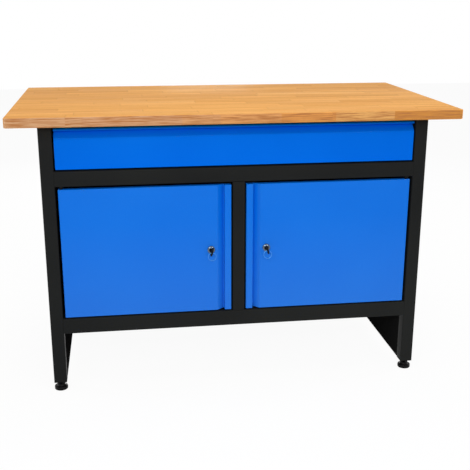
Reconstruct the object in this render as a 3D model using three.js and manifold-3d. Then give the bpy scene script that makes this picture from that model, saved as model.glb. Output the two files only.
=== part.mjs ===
// Workbench with one full-width drawer above a two-door cabinet.
// Millimetres, +Z up, +X to the right, the front faces -Y.
// The origin is on the floor under the middle of the worktop.

import * as THREE from 'three';
import { mergeVertices } from 'three/addons/utils/BufferGeometryUtils.js';
import Module from 'manifold-3d';

const wasm = await Module();
wasm.setup();

// Driving dimensions: worktop
const topThickness = 29;
const topCornerRadius = 10;
const topEdgeRadius = 2.5;
const frontOverhang = 60;
const rearOverhang = 30;
const sideOverhang = 87.5;

// Driving dimensions: frame, from the floor up and from the leg inwards
const frameDepth = 660;
const legSize = 40;
const legWall = 2;
const legCornerRadius = 3;
const footHeight = 29;
const bottomRailLift = 196;
const bottomRailHeight = 50;
const middleRailHeight = 47;
const topRailHeight = 40;
const railDepth = 40;
const railWall = 2;
const postWidth = 38;
const postDepth = 28;
const postFlange = 41;
const panelSheet = 1.5;
const panelFlange = 15;

// Driving dimensions: doors
const doorWidth = 523.5;
const doorHeight = 410;
const doorDepth = 22;
const doorSheet = 1.25;
const doorReturn = 9;
const hingeGap = 8;
const latchGap = 4.5;
const doorGapBelow = 5;
const doorGapAbove = 9;
const doorStrip = 21.5;
const stiffenerWidth = 60;
const stiffenerFlange = 14;

// Driving dimensions: grip groove shared by the doors and the drawer
const gripOpening = 22.5;
const gripDepth = 17;
const gripFloor = 3;
const bendRadius = 2.5;
const bendSteps = 3;

// Driving dimensions: hinge pins and their bushes
const pinRadius = 4;
const pinInset = 10;
const pinSetback = 11;
const pinCollarRadius = 7;
const pinCollarHeight = 3;
const pinTail = 14;
const bushWall = 2;
const bushCollarRadius = 9;
const bushTail = 2;

// Driving dimensions: drawer
const drawerFrontHeight = 123;
const drawerFrontDepth = 20;
const drawerStrip = 7;
const drawerSideGap = 5;
const drawerGapBelow = 5;
const drawerGapAbove = 13;
const trayHeight = 100;
const trayDepth = 580;
const traySheet = 1.25;
const trayLift = 2;
const runnerSpace = 14;
const runnerHeight = 45;
const runnerSheet = 1.5;
const runnerPlay = 0.5;
const runnerLength = 556;
const runnerCentre = 52;
const runnerSetback = 2;

// Driving dimensions: shelves
const shelfSheet = 1.25;
const shelfRim = 20;
const shelfHeight = 200;
const shelfFrontSetback = 62;
const shelfRearGap = 30;
const shelfPlay = 2.5;
const tabWidth = 24;
const tabReach = 14;
const tabSheet = 2;
const tabFromLeg = 90;

// Driving dimensions: cam locks
const lockInset = 64;
const lockHeight = 204;
const lockHeadRadius = 12;
const lockHeadHeight = 6;
const lockHeadEdge = 2;
const lockBarrelRadius = 9;
const lockBarrelLength = 20;
const lockNutFlats = 24;
const lockNutHeight = 5;
const plugRadius = 6;
const plugRecess = 1.5;
const keySlotWidth = 2.5;
const keySlotHeight = 9;
const keySlotDepth = 18;
const keyBowHalfHeight = 15;
const keyBowHalfLength = 11;
const keyBowHole = 3.5;
const keyNeck = 8;
const keyPlay = 0.3;
const keyTang = 8;
const keyHeadHalf = 2.5;
const keyTilt = 14;
const camWidth = 14;
const camSheet = 2.5;
const camOverlap = 17.5;
const camGap = 1;
const camScrewRadius = 2;
const camScrewHead = 5;
const camScrewHeadHeight = 3;
const camScrewDepth = 7;

// Driving dimensions: levelling feet
const footRadius = 21;
const footRim = 11;
const footDome = 13;
const footHubRadius = 9;
const footHubHeight = 20;
const studRadius = 5;
const studAboveLeg = 46;
const plugFlange = 2;
const plugDepth = 26;
const plugChamfer = 2;

// Clearances
const seat = 0.2;
const turn = 0.3;
const cutPast = 1;

// Numbers of facets
const pinFacets = 16;
const roundFacets = 24;
const cornerSteps = 4;

// Derived levels above the floor
const bottomRailTop = bottomRailLift + bottomRailHeight;
const doorBottom = bottomRailTop + doorGapBelow;
const doorTop = doorBottom + doorHeight;
const middleRailBottom = doorTop + doorGapAbove;
const middleRailTop = middleRailBottom + middleRailHeight;
const drawerBottom = middleRailTop + drawerGapBelow;
const drawerTop = drawerBottom + drawerFrontHeight;
const underside = drawerTop + drawerGapAbove;
const legBottom = footHeight + plugFlange;
const topRailBottom = underside - topRailHeight;
const floorSheetTop = bottomRailTop + seat + panelSheet;

// Derived places across and along the bench; y is counted from the frame's front plane
const doorInner = postWidth / 2 + latchGap;
const doorOuter = doorInner + doorWidth;
const innerHalf = doorOuter + hingeGap;
const frameHalf = innerHalf + legSize;
const topWidth = 2 * (frameHalf + sideOverhang);
const topDepth = frontOverhang + frameDepth + rearOverhang;
const frontPlane = frontOverhang - topDepth / 2;
const rearLegFront = frameDepth - legSize;
const pinX = doorOuter - pinInset;
const lockX = doorInner + lockInset;
const lockZ = doorBottom + lockHeight;
const SIDES = [['left', -1], ['right', 1]];

// Finishes
function finish(color, roughness, metalness) {
  return new THREE.MeshStandardMaterial({ color, roughness, metalness });
}
const hardwood = finish(0xe6ad6b, 0.5, 0);
const blackPowder = finish(0x232424, 0.45, 0.1);
const bluePowder = finish(0x1a6fe0, 0.35, 0.1);
const zincSteel = finish(0xb4b7ba, 0.35, 0.9);
const chrome = finish(0xd8dadc, 0.12, 1);
const keySteel = finish(0x8f8a80, 0.3, 1);
const blackPlastic = finish(0x161616, 0.55, 0);

// Scene graph: all pieces are placed from the frame's front plane
const bench = new THREE.Group();
bench.position.y = frontPlane;

function add(name, geometry, material) {
  const mesh = new THREE.Mesh(geometry, material);
  mesh.name = name;
  bench.add(mesh);
}

// Outlines are lists of [u, v]; an extrusion carries them along one axis by a turn of the axes
const AXIS_X = new THREE.Vector3(1, 0, 0);
const AXIS_Y = new THREE.Vector3(0, 1, 0);
const AXIS_Z = new THREE.Vector3(0, 0, 1);

function outline(points) {
  return new THREE.Shape(points.map(([u, v]) => new THREE.Vector2(u, v)));
}

function extrude(shape, from, to, basis) {
  const settings = { depth: to - from, bevelEnabled: false, curveSegments: cornerSteps };
  const geometry = new THREE.ExtrudeGeometry(shape, settings);
  geometry.translate(0, 0, from);
  if (basis) geometry.applyMatrix4(new THREE.Matrix4().makeBasis(...basis));
  return geometry;
}

// A section in (y, z) carried along x, in (z, x) along y, and in (x, y) along z
const alongX = (shape, from, to) => extrude(shape, from, to, [AXIS_Y, AXIS_Z, AXIS_X]);
const alongY = (shape, from, to) => extrude(shape, from, to, [AXIS_Z, AXIS_X, AXIS_Y]);
const alongZ = (shape, from, to) => extrude(shape, from, to);

function block(x0, x1, y0, y1, z0, z1) {
  const geometry = new THREE.BoxGeometry(Math.abs(x1 - x0), Math.abs(y1 - y0), Math.abs(z1 - z0));
  return geometry.translate((x0 + x1) / 2, (y0 + y1) / 2, (z0 + z1) / 2);
}

// A turned piece: points are [radius, height] from the bottom up, about +Y or about +Z
function turned(points, facets, upright) {
  const geometry = new THREE.LatheGeometry(points.map(([r, h]) => new THREE.Vector2(r, h)), facets);
  if (upright) geometry.applyMatrix4(new THREE.Matrix4().makeBasis(AXIS_Y, AXIS_Z, AXIS_X));
  return geometry;
}

// A round hole in an outline, with its flats outside the given radius
function roundHole(u, v, radius) {
  const corner = radius / Math.cos(Math.PI / roundFacets);
  const points = Array.from({ length: roundFacets }, (_, i) => {
    const angle = (2 * Math.PI * i) / roundFacets;
    return new THREE.Vector2(u + corner * Math.cos(angle), v + corner * Math.sin(angle));
  });
  return new THREE.Path(points);
}

// Joins and cuts on closed meshes
function solid(geometry) {
  const bare = geometry.clone();
  bare.deleteAttribute('normal');
  bare.deleteAttribute('uv');
  const merged = mergeVertices(bare, 1e-4);
  const vertProperties = new Float32Array(merged.getAttribute('position').array);
  const triVerts = new Uint32Array(merged.index.array);
  return new wasm.Manifold(new wasm.Mesh({ numProp: 3, vertProperties, triVerts }));
}

function geometryOf(manifold) {
  const mesh = manifold.getMesh();
  const geometry = new THREE.BufferGeometry();
  geometry.setAttribute('position', new THREE.BufferAttribute(new Float32Array(mesh.vertProperties), 3));
  geometry.setIndex(new THREE.BufferAttribute(new Uint32Array(mesh.triVerts), 1));
  geometry.computeVertexNormals();
  return geometry;
}

const join = (...parts) => geometryOf(parts.map(solid).reduce((whole, part) => whole.add(part)));
function cut(body, ...tools) {
  return geometryOf(tools.map(solid).reduce((whole, tool) => whole.subtract(tool), solid(body)));
}

// A rectangle with round corners, as a closed path
function roundedRectangle(x0, x1, y0, y1, radius, path = new THREE.Shape()) {
  path.moveTo(x0 + radius, y0);
  path.lineTo(x1 - radius, y0);
  path.absarc(x1 - radius, y0 + radius, radius, -Math.PI / 2, 0, false);
  path.lineTo(x1, y1 - radius);
  path.absarc(x1 - radius, y1 - radius, radius, 0, Math.PI / 2, false);
  path.lineTo(x0 + radius, y1);
  path.absarc(x0 + radius, y1 - radius, radius, Math.PI / 2, Math.PI, false);
  path.lineTo(x0, y0 + radius);
  path.absarc(x0 + radius, y0 + radius, radius, Math.PI, Math.PI * 1.5, false);
  return path;
}

// Each inner corner of an open line becomes an arc of bendSteps chords
function bent(points) {
  const line = points.map(([u, v]) => new THREE.Vector2(u, v));
  const out = [line[0]];
  for (let i = 1; i < line.length - 1; i += 1) {
    const back = line[i - 1].clone().sub(line[i]);
    const ahead = line[i + 1].clone().sub(line[i]);
    const half = back.angleTo(ahead) / 2;
    const reach = Math.min(bendRadius / Math.tan(half), back.length() / 2, ahead.length() / 2);
    const start = line[i].clone().addScaledVector(back.normalize(), reach);
    const end = line[i].clone().addScaledVector(ahead.normalize(), reach);
    const curve = new THREE.QuadraticBezierCurve(start, line[i], end);
    out.push(...curve.getPoints(bendSteps));
  }
  out.push(line[line.length - 1]);
  return out;
}

// The same line moved to its left by a distance, with mitred corners
function moved(line, distance) {
  return line.map((point, i) => {
    const before = line[Math.max(i - 1, 0)];
    const after = line[Math.min(i + 1, line.length - 1)];
    const into = point.clone().sub(before);
    const outOf = after.clone().sub(point);
    const first = i === 0 ? outOf.clone().normalize() : into.normalize();
    const second = i === line.length - 1 ? first : outOf.normalize();
    const normal = new THREE.Vector2(-first.y - second.y, first.x + second.x).normalize();
    const square = new THREE.Vector2(-first.y, first.x);
    return point.clone().addScaledVector(normal, distance / normal.dot(square));
  });
}

// A folded sheet from the line of its outer face, with the thickness on the line's left
function folded(face, thickness) {
  return new THREE.Shape([...face, ...moved(face, thickness).reverse()]);
}

// The plate that closes the end of a folded sheet, bedded half way into the sheet's thickness
function closing(face, thickness) {
  return new THREE.Shape(moved(face, thickness / 2));
}

// A rail's channel section in (y, z): its web at the given y, its flanges reaching by depth to either side
function channel(web, depth, low, high) {
  const inside = web + Math.sign(depth) * railWall;
  const tip = web + depth;
  return outline([
    [web, low], [tip, low], [tip, low + railWall], [inside, low + railWall],
    [inside, high - railWall], [tip, high - railWall], [tip, high], [web, high],
  ]);
}

// Worktop: one glued hardwood slab with rounded corners and eased edges
const inset = topEdgeRadius;
const topOutline = roundedRectangle(
  -topWidth / 2 + inset, topWidth / 2 - inset, inset - frontOverhang, topDepth - frontOverhang - inset,
  topCornerRadius - inset,
);
const topSlab = new THREE.ExtrudeGeometry(topOutline, {
  depth: topThickness - 2 * topEdgeRadius,
  bevelThickness: topEdgeRadius,
  bevelSize: topEdgeRadius,
  bevelSegments: 2,
  curveSegments: cornerSteps,
});
add('worktop', topSlab.translate(0, 0, underside + topEdgeRadius), hardwood);

// Legs: square steel tubes, each with a threaded plug in its lower end and a levelling foot
const tube = legSize / 2;
const bore = tube - legWall;
for (const [end, y] of [['front', tube], ['rear', frameDepth - tube]]) {
  for (const [side, s] of SIDES) {
    const x = s * (frameHalf - tube);
    const section = roundedRectangle(-tube, tube, -tube, tube, legCornerRadius);
    const boreCorner = legCornerRadius - legWall;
    section.holes.push(roundedRectangle(-bore, bore, -bore, bore, boreCorner, new THREE.Path()));
    add(`${end}_${side}_leg`, alongZ(section, legBottom, underside - seat).translate(x, y, 0), blackPowder);

    const core = bore - seat;
    const studHole = roundHole(0, 0, studRadius + turn);
    const flange = outline([[-tube, -tube], [tube, -tube], [tube, tube], [-tube, tube]]);
    const body = outline([
      [-core + plugChamfer, -core], [core - plugChamfer, -core], [core, -core + plugChamfer],
      [core, core - plugChamfer], [core - plugChamfer, core], [-core + plugChamfer, core],
      [-core, core - plugChamfer], [-core, -core + plugChamfer],
    ]);
    flange.holes.push(studHole);
    body.holes.push(studHole);
    const plug = join(
      alongZ(flange, footHeight, legBottom - seat),
      alongZ(body, footHeight, legBottom + plugDepth),
    );
    add(`${end}_${side}_leg_plug`, plug.translate(x, y, 0), blackPlastic);

    const studTop = footHeight + studAboveLeg;
    const foot = turned([
      [0, 0], [footRadius, 0], [footRadius, footRim], [footHubRadius, footDome],
      [footHubRadius, footHubHeight], [studRadius, footHubHeight], [studRadius, studTop], [0, studTop],
    ], roundFacets, true);
    add(`${end}_${side}_foot`, foot.translate(x, y, 0), blackPlastic);
  }
}

// Side frames: a top rail over a folded panel that lies flush with the legs' inner faces
const betweenFront = legSize + seat;
const betweenRear = rearLegFront - seat;
const tabY = [betweenFront + tabFromLeg, betweenRear - tabFromLeg];
const shelfTop = floorSheetTop + shelfHeight;
const tabTop = shelfTop - shelfRim - seat;
for (const [side, s] of SIDES) {
  const railTop = underside - seat;
  const rail = outline([
    [topRailBottom, innerHalf], [railTop, innerHalf], [railTop, frameHalf], [topRailBottom, frameHalf],
    [topRailBottom, frameHalf - railWall], [railTop - railWall, frameHalf - railWall],
    [railTop - railWall, innerHalf + railWall], [topRailBottom, innerHalf + railWall],
  ].map(([z, x]) => [z, s * x]));
  add(`${side}_top_rail`, alongY(rail, betweenFront, betweenRear), blackPowder);

  const outer = innerHalf + panelSheet;
  const flangeTip = outer + panelFlange;
  const panel = outline([
    [s * innerHalf, betweenFront], [s * flangeTip, betweenFront], [s * flangeTip, betweenFront + panelSheet],
    [s * outer, betweenFront + panelSheet], [s * outer, betweenRear - panelSheet],
    [s * flangeTip, betweenRear - panelSheet], [s * flangeTip, betweenRear], [s * innerHalf, betweenRear],
  ]);
  const tabs = tabY.map((y) => block(
    s * (outer - seat), s * (innerHalf - tabReach), y - tabWidth / 2, y + tabWidth / 2,
    tabTop - tabSheet, tabTop,
  ));
  add(`${side}_side_panel`, join(alongZ(panel, legBottom, topRailBottom - seat), ...tabs), blackPowder);
}

// Front rails: folded channels between the legs, open to the back, drilled for the hinge bushes
const railEnd = innerHalf - seat;
const bushHoleRadius = pinRadius + turn + bushWall + seat;
function drilledRail(bottom, top, drilledFlange) {
  const rail = alongX(channel(0, railDepth, bottom, top), -railEnd, railEnd);
  const low = drilledFlange - cutPast;
  const high = drilledFlange + railWall + cutPast;
  const drill = [[0, low], [bushHoleRadius, low], [bushHoleRadius, high], [0, high]];
  const holes = SIDES.map(([, s]) => turned(drill, pinFacets, true).translate(s * pinX, pinSetback, 0));
  return cut(rail, ...holes);
}
add('middle_rail', drilledRail(middleRailBottom, middleRailTop, middleRailBottom), blackPowder);
add('bottom_rail', drilledRail(bottomRailLift, bottomRailTop, bottomRailTop - railWall), blackPowder);

// Rear rails: the same channels turned round, flush with the backs of the rear legs
const rearRail = (bottom, top) => alongX(channel(frameDepth, -railDepth, bottom, top), -railEnd, railEnd);
add('rear_bottom_rail', rearRail(bottomRailLift, bottomRailTop), blackPowder);
add('rear_top_rail', rearRail(topRailBottom, underside - seat), blackPowder);

// Centre post: a hat section whose flanges stop the doors and take the lock cams
const postHalf = postWidth / 2;
const postTip = postHalf + postFlange;
const hat = outline([
  [-postHalf, 0], [postHalf, 0], [postHalf, postDepth - railWall], [postTip, postDepth - railWall],
  [postTip, postDepth], [postHalf - railWall, postDepth], [postHalf - railWall, railWall],
  [railWall - postHalf, railWall], [railWall - postHalf, postDepth], [-postTip, postDepth],
  [-postTip, postDepth - railWall], [-postHalf, postDepth - railWall],
]);
add('centre_post', alongZ(hat, bottomRailTop + seat, middleRailBottom - seat), blackPowder);

// Back panel: a folded sheet between the rear legs, standing on the rear bottom rail
const backFace = frameDepth - panelSheet;
const back = outline([
  [-railEnd, frameDepth], [-railEnd, backFace - panelFlange], [panelSheet - railEnd, backFace - panelFlange],
  [panelSheet - railEnd, backFace], [railEnd - panelSheet, backFace],
  [railEnd - panelSheet, backFace - panelFlange], [railEnd, backFace - panelFlange], [railEnd, frameDepth],
]);
add('back_panel', alongZ(back, bottomRailTop + seat, topRailBottom - seat), blackPowder);

// Cabinet floor: a sheet laid on the flanges of the two bottom rails
const floorFront = postDepth + 2 * seat + panelSheet;
const floorRear = backFace - panelFlange - seat;
const floorSheet = block(-railEnd, railEnd, floorFront, floorRear, bottomRailTop + seat, floorSheetTop);
add('cabinet_floor', floorSheet, blackPowder);

// Partition: a folded sheet between the post and the back panel, with tabs for both shelves
const web = panelSheet / 2;
const partitionFront = postDepth + seat;
const partitionRear = backFace - seat;
const partitionSection = outline([
  [-web, partitionFront], [postHalf, partitionFront], [postHalf, partitionFront + panelSheet],
  [web, partitionFront + panelSheet], [web, partitionRear - panelSheet],
  [postHalf, partitionRear - panelSheet], [postHalf, partitionRear], [-web, partitionRear],
]);
const partitionTabs = tabY.map((y) => block(
  -web - tabReach, web + tabReach, y - tabWidth / 2, y + tabWidth / 2, tabTop - tabSheet, tabTop,
));
const partition = alongZ(partitionSection, floorSheetTop + seat, middleRailBottom - seat);
add('centre_partition', join(partition, ...partitionTabs), blackPowder);

// Shelves: folded pans, open below, resting on the tabs
for (const [side, s] of SIDES) {
  const near = s * (postHalf + shelfPlay);
  const far = s * (innerHalf - shelfPlay);
  const front = shelfFrontSetback;
  const rear = backFace - shelfRearGap;
  const wall = s * shelfSheet;
  const pan = block(near, far, front, rear, shelfTop - shelfRim, shelfTop);
  const hollow = block(
    near + wall, far - wall, front + shelfSheet, rear - shelfSheet,
    shelfTop - shelfRim - cutPast, shelfTop - shelfSheet,
  );
  add(`${side}_shelf`, cut(pan, hollow), blackPowder);
}

// Runners: three nested channels on each side of the drawer
const trayBottom = drawerBottom + trayLift;
const traySide = innerHalf - runnerSpace;
const runnerFront = drawerFrontDepth + runnerSetback;
const runnerRear = runnerFront + runnerLength;
const runnerZ = trayBottom + runnerCentre;
const nested = runnerSheet + runnerPlay;
for (const [side, s] of SIDES) {
  const member = (webX, tipX, level) => {
    const half = runnerHeight / 2 - level * nested;
    const inward = Math.sign(tipX - webX) * runnerSheet;
    return outline([
      [-half, webX], [half, webX], [half, tipX], [half - runnerSheet, tipX],
      [half - runnerSheet, webX + inward], [runnerSheet - half, webX + inward],
      [runnerSheet - half, tipX], [-half, tipX],
    ].map(([z, x]) => [runnerZ + z, s * x]));
  };
  const fixedWeb = innerHalf - seat;
  const middleWeb = fixedWeb - nested;
  const innerWeb = traySide + seat;
  const innerTip = middleWeb - nested;
  const flangeTip = innerWeb + nested;
  add(`${side}_runner_fixed`, alongY(member(fixedWeb, flangeTip, 0), runnerFront, runnerRear), zincSteel);
  add(`${side}_runner_middle`, alongY(member(middleWeb, flangeTip, 1), runnerFront, runnerRear), zincSteel);
  add(`${side}_runner_inner`, alongY(member(innerWeb, innerTip, 2), runnerFront, runnerRear), zincSteel);
}

// Drawer front: a folded sheet with a grip groove along its top, closed by a plate at each end
const drawerHalf = innerHalf - drawerSideGap;
const grooveTop = drawerTop - drawerStrip;
const drawerLine = [
  [drawerFrontDepth, drawerBottom], [0, drawerBottom], [0, grooveTop - gripOpening],
  [gripDepth, grooveTop - gripFloor], [gripDepth, grooveTop], [0, grooveTop],
  [0, drawerTop], [drawerFrontDepth, drawerTop],
];
const drawerFace = bent(drawerLine);
const drawerSkin = alongX(folded(drawerFace, -doorSheet), -drawerHalf, drawerHalf);
const drawerEndFar = drawerHalf - seat;
const drawerEndNear = drawerEndFar - doorSheet;
const drawerEnds = [[-drawerEndFar, -drawerEndNear], [drawerEndNear, drawerEndFar]].map(([from, to]) => (
  alongX(closing(drawerFace, -doorSheet), from, to)
));
add('drawer_front', join(drawerSkin, ...drawerEnds), bluePowder);

// Drawer tray: an open sheet box carried by the inner runners
const trayFront = drawerFrontDepth + seat;
const trayRear = trayFront + trayDepth;
const trayTop = trayBottom + trayHeight;
const trayBox = block(-traySide, traySide, trayFront, trayRear, trayBottom, trayTop);
const trayHollow = block(
  traySheet - traySide, traySide - traySheet, trayFront + traySheet, trayRear - traySheet,
  trayBottom + traySheet, trayTop + cutPast,
);
add('drawer_tray', cut(trayBox, trayHollow), blackPowder);

// Doors: folded pans with the grip groove beside the post, each with a stiffener, two pins and a lock
for (const [side, s] of SIDES) {
  const grooveInner = doorInner + doorStrip;
  const grooveOuter = grooveInner + gripOpening;
  const doorLine = [
    [doorOuter - doorReturn, doorDepth], [doorOuter, doorDepth], [doorOuter, 0], [grooveOuter, 0],
    [grooveInner + gripFloor, gripDepth], [grooveInner, gripDepth], [grooveInner, 0],
    [doorInner, 0], [doorInner, doorDepth], [doorInner + doorReturn, doorDepth],
  ].map(([x, y]) => [s * x, y]);
  const face = bent(doorLine);
  const skin = alongZ(folded(face, -s * doorSheet), doorBottom, doorTop);
  const ends = [doorBottom + seat, doorTop - seat - doorSheet].map((z) => (
    alongZ(closing(face, -s * doorSheet), z, z + doorSheet)
  ));
  const drillHalf = doorSheet + seat + cutPast;
  const drill = (radius) => [[0, -drillHalf], [radius, -drillHalf], [radius, drillHalf], [0, drillHalf]];
  const pinHoles = [doorBottom, doorTop].map((z) => (
    turned(drill(pinRadius + seat), pinFacets, true).translate(s * pinX, pinSetback, z)
  ));
  const lockHole = turned(drill(lockBarrelRadius + seat), roundFacets).translate(s * lockX, 0, lockZ);
  add(`${side}_door`, cut(join(skin, ...ends), ...pinHoles, lockHole), bluePowder);

  const mid = (doorInner + doorOuter) / 2;
  const rise = doorDepth - seat;
  const low = doorSheet + seat;
  const half = stiffenerWidth / 2;
  const tip = half + stiffenerFlange;
  const hatLine = outline([
    [-tip, low], [-half, low], [-half, rise - doorSheet], [half, rise - doorSheet], [half, low], [tip, low],
    [tip, low + doorSheet], [half + doorSheet, low + doorSheet], [half + doorSheet, rise],
    [-half - doorSheet, rise], [-half - doorSheet, low + doorSheet], [-tip, low + doorSheet],
  ].map(([x, y]) => [s * (mid + x), y]));
  const stiffenerEnd = doorSheet + 2 * seat;
  const stiffener = alongZ(hatLine, doorBottom + stiffenerEnd, doorTop - stiffenerEnd);
  add(`${side}_door_stiffener`, stiffener, bluePowder);

  // Each pin is fixed inside the pan by its collar and turns in a bush in the rail
  const hinges = [['upper', doorTop, 1, middleRailBottom], ['lower', doorBottom, -1, bottomRailTop]];
  for (const [place, plate, up, rail] of hinges) {
    const inside = plate - up * (doorSheet + 2 * seat);
    const tailEnd = rail + up * (railWall + bushTail);
    const levels = [
      [pinRadius, inside - up * (pinCollarHeight + pinTail)], [pinRadius, inside - up * pinCollarHeight],
      [pinCollarRadius, inside - up * pinCollarHeight], [pinCollarRadius, inside],
      [pinRadius, inside], [pinRadius, tailEnd],
    ];
    const profile = [[0, levels[0][1]], ...levels, [0, levels[5][1]]];
    const pin = turned(up > 0 ? profile : profile.reverse(), pinFacets, true);
    add(`${side}_door_${place}_pin`, pin.translate(s * pinX, pinSetback, 0), zincSteel);

    const hole = pinRadius + turn;
    const wall = hole + bushWall;
    const collarEnd = up > 0 ? rail - doorGapAbove / 2 : plate - turn;
    const ring = [
      [hole, collarEnd], [bushCollarRadius, collarEnd], [bushCollarRadius, rail - up * seat],
      [wall, rail - up * seat], [wall, tailEnd], [hole, tailEnd],
    ];
    const closed = [...ring, ring[0]];
    const bush = turned(up > 0 ? closed : closed.reverse(), pinFacets, true);
    add(`${side}_door_${place}_bush`, bush.translate(s * pinX, pinSetback, 0), blackPlastic);
  }

  // Cam lock: chromed housing and nut on the door; plug, key, cam and screw turn together
  const plugBore = plugRadius + turn;
  const housing = turned([
    [plugBore, -lockHeadHeight], [lockHeadRadius - lockHeadEdge, -lockHeadHeight],
    [lockHeadRadius, lockHeadEdge - lockHeadHeight], [lockHeadRadius, -seat], [lockBarrelRadius, -seat],
    [lockBarrelRadius, lockBarrelLength], [plugBore, lockBarrelLength], [plugBore, -lockHeadHeight],
  ], roundFacets);
  add(`${side}_lock_housing`, housing.translate(s * lockX, 0, lockZ), chrome);

  const nutRadius = lockNutFlats / Math.sqrt(3);
  const nutStart = doorSheet + seat;
  const nut = new THREE.Shape(Array.from({ length: 6 }, (_, i) => new THREE.Vector2(
    nutRadius * Math.cos(i * Math.PI / 3), nutRadius * Math.sin(i * Math.PI / 3),
  )));
  nut.holes.push(roundHole(0, 0, lockBarrelRadius + turn));
  const nutBody = alongY(nut, nutStart, nutStart + lockNutHeight);
  add(`${side}_lock_nut`, nutBody.translate(s * lockX, 0, lockZ), zincSteel);

  const plugFront = plugRecess - lockHeadHeight;
  const camFront = postDepth + camGap;
  const plugEnd = camFront - seat;
  const screwHole = camScrewRadius + turn;
  const screwFloor = plugEnd - camScrewDepth - turn;
  const barrel = turned([
    [0, plugFront], [plugRadius, plugFront], [plugRadius, plugEnd], [screwHole, plugEnd],
    [screwHole, screwFloor], [0, screwFloor],
  ], roundFacets);
  const slotHalf = keySlotHeight / 2;
  const slotSide = keySlotWidth / 2;
  const slot = block(-slotSide, slotSide, plugFront - cutPast, plugFront + keySlotDepth, -slotHalf, slotHalf);
  const keyTurn = -s * THREE.MathUtils.degToRad(keyTilt);
  const plug = cut(barrel, slot.rotateY(keyTurn));
  add(`${side}_lock_plug`, plug.translate(s * lockX, 0, lockZ), chrome);

  // Key: a steel blade with its tang moulded into a thick plastic head, leaning a little towards the post
  const bladeHalf = slotHalf - keyPlay;
  const keyHalf = slotSide - keyPlay;
  const bowCentre = plugFront - keyNeck - keyBowHalfLength;
  const tangStart = bowCentre + keyBowHalfLength - keyTang;
  const bladeTip = plugFront + keySlotDepth - keyPlay;
  const blade = alongX(outline([
    [tangStart, -bladeHalf], [bladeTip - bladeHalf, -bladeHalf], [bladeTip, 0],
    [bladeTip - bladeHalf, bladeHalf], [tangStart, bladeHalf],
  ]), -keyHalf, keyHalf);
  const bow = outline(Array.from({ length: roundFacets }, (_, i) => {
    const angle = (2 * Math.PI * i) / roundFacets;
    return [bowCentre + keyBowHalfLength * Math.cos(angle), keyBowHalfHeight * Math.sin(angle)];
  }));
  bow.holes.push(roundHole(bowCentre - keyBowHalfLength / 3, 0, keyBowHole));
  const key = join(blade, alongX(bow, -keyHeadHalf, keyHeadHalf));
  add(`${side}_key`, key.rotateY(keyTurn).translate(s * lockX, 0, lockZ), keySteel);

  const camLength = lockX - postTip + camOverlap;
  const camHalf = camWidth / 2;
  const cam = new THREE.Shape();
  cam.moveTo(0, -camHalf);
  cam.absarc(0, 0, camHalf, -Math.PI / 2, Math.PI / 2, false);
  cam.lineTo(-camLength, camHalf);
  cam.lineTo(-camLength, -camHalf);
  cam.holes.push(roundHole(0, 0, screwHole));
  const camPlate = alongY(cam, camFront, camFront + camSheet);
  add(`${side}_lock_cam`, camPlate.translate(s * lockX, 0, lockZ), zincSteel);

  const headStart = camFront + camSheet + seat;
  const headEnd = headStart + camScrewHeadHeight;
  const screw = turned([
    [0, plugEnd - camScrewDepth], [camScrewRadius, plugEnd - camScrewDepth], [camScrewRadius, headStart],
    [camScrewHead, headStart], [camScrewHead, headEnd], [0, headEnd],
  ], pinFacets);
  add(`${side}_cam_screw`, screw.translate(s * lockX, 0, lockZ), zincSteel);
}

export default bench;
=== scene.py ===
import math

import bmesh
import bpy
from mathutils import Matrix, Vector


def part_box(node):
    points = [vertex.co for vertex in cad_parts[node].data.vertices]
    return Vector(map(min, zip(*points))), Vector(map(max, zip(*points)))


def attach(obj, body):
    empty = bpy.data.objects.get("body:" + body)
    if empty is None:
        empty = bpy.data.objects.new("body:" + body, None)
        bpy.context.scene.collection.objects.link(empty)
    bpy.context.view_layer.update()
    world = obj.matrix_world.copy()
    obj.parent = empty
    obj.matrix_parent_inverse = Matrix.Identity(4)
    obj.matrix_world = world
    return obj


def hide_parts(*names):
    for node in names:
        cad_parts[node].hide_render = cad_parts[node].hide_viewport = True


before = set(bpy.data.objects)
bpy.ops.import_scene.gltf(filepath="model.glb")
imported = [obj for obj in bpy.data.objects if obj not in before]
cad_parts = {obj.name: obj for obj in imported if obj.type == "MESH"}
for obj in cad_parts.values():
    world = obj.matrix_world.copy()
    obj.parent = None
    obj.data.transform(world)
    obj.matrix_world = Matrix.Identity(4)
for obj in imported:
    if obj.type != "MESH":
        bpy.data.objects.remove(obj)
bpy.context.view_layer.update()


# Levelling feet
# Each foot is a thick moulded black plastic pad with a hub, on a stud with black zinc plating.
# The stud screws into the plug in the leg's end, so that the bench can be levelled.

PAD_OUTLINE = [
    (0, 0), (0.0188, 0), (0.0201, 0.0005), (0.0208, 0.0016), (0.021, 0.003), (0.021, 0.0088),
    (0.0208, 0.0099), (0.0202, 0.0107), (0.0192, 0.0112), (0.0164, 0.0118), (0.0146, 0.0127),
    (0.0132, 0.0141), (0.0125, 0.0158), (0.0122, 0.0172), (0.0121, 0.0193), (0.0114, 0.02), (0, 0.02),
]
STUD_START = 0.0195
STUD_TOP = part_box("front_left_foot")[1].z
STUD_ROOT = 0.0042
STUD_CREST = 0.005
STUD_LEAD = 0.001
STUD_POINT = 0.001
STUD_TURNS = 25
THREAD_PITCH = 0.0015
UPWARD = (0, 0, 1)
SEED_SIZE = 0.001
MERGE_WITHIN = 1e-6
SMOOTH_ANGLE = math.radians(32)
CORNERS = ("front_left", "front_right", "rear_left", "rear_right")
FEET = [corner + "_foot" for corner in CORNERS]


def only(piece):
    """Leaves one piece selected and active."""
    bpy.ops.object.select_all(action="DESELECT")
    piece.select_set(True)
    bpy.context.view_layer.objects.active = piece


def named(name):
    """Names the active piece, and moves its place, turn and scale into its mesh."""
    piece = bpy.context.active_object
    piece.name = name
    piece.data.name = name
    only(piece)
    bpy.ops.object.transform_apply()
    return piece


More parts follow.
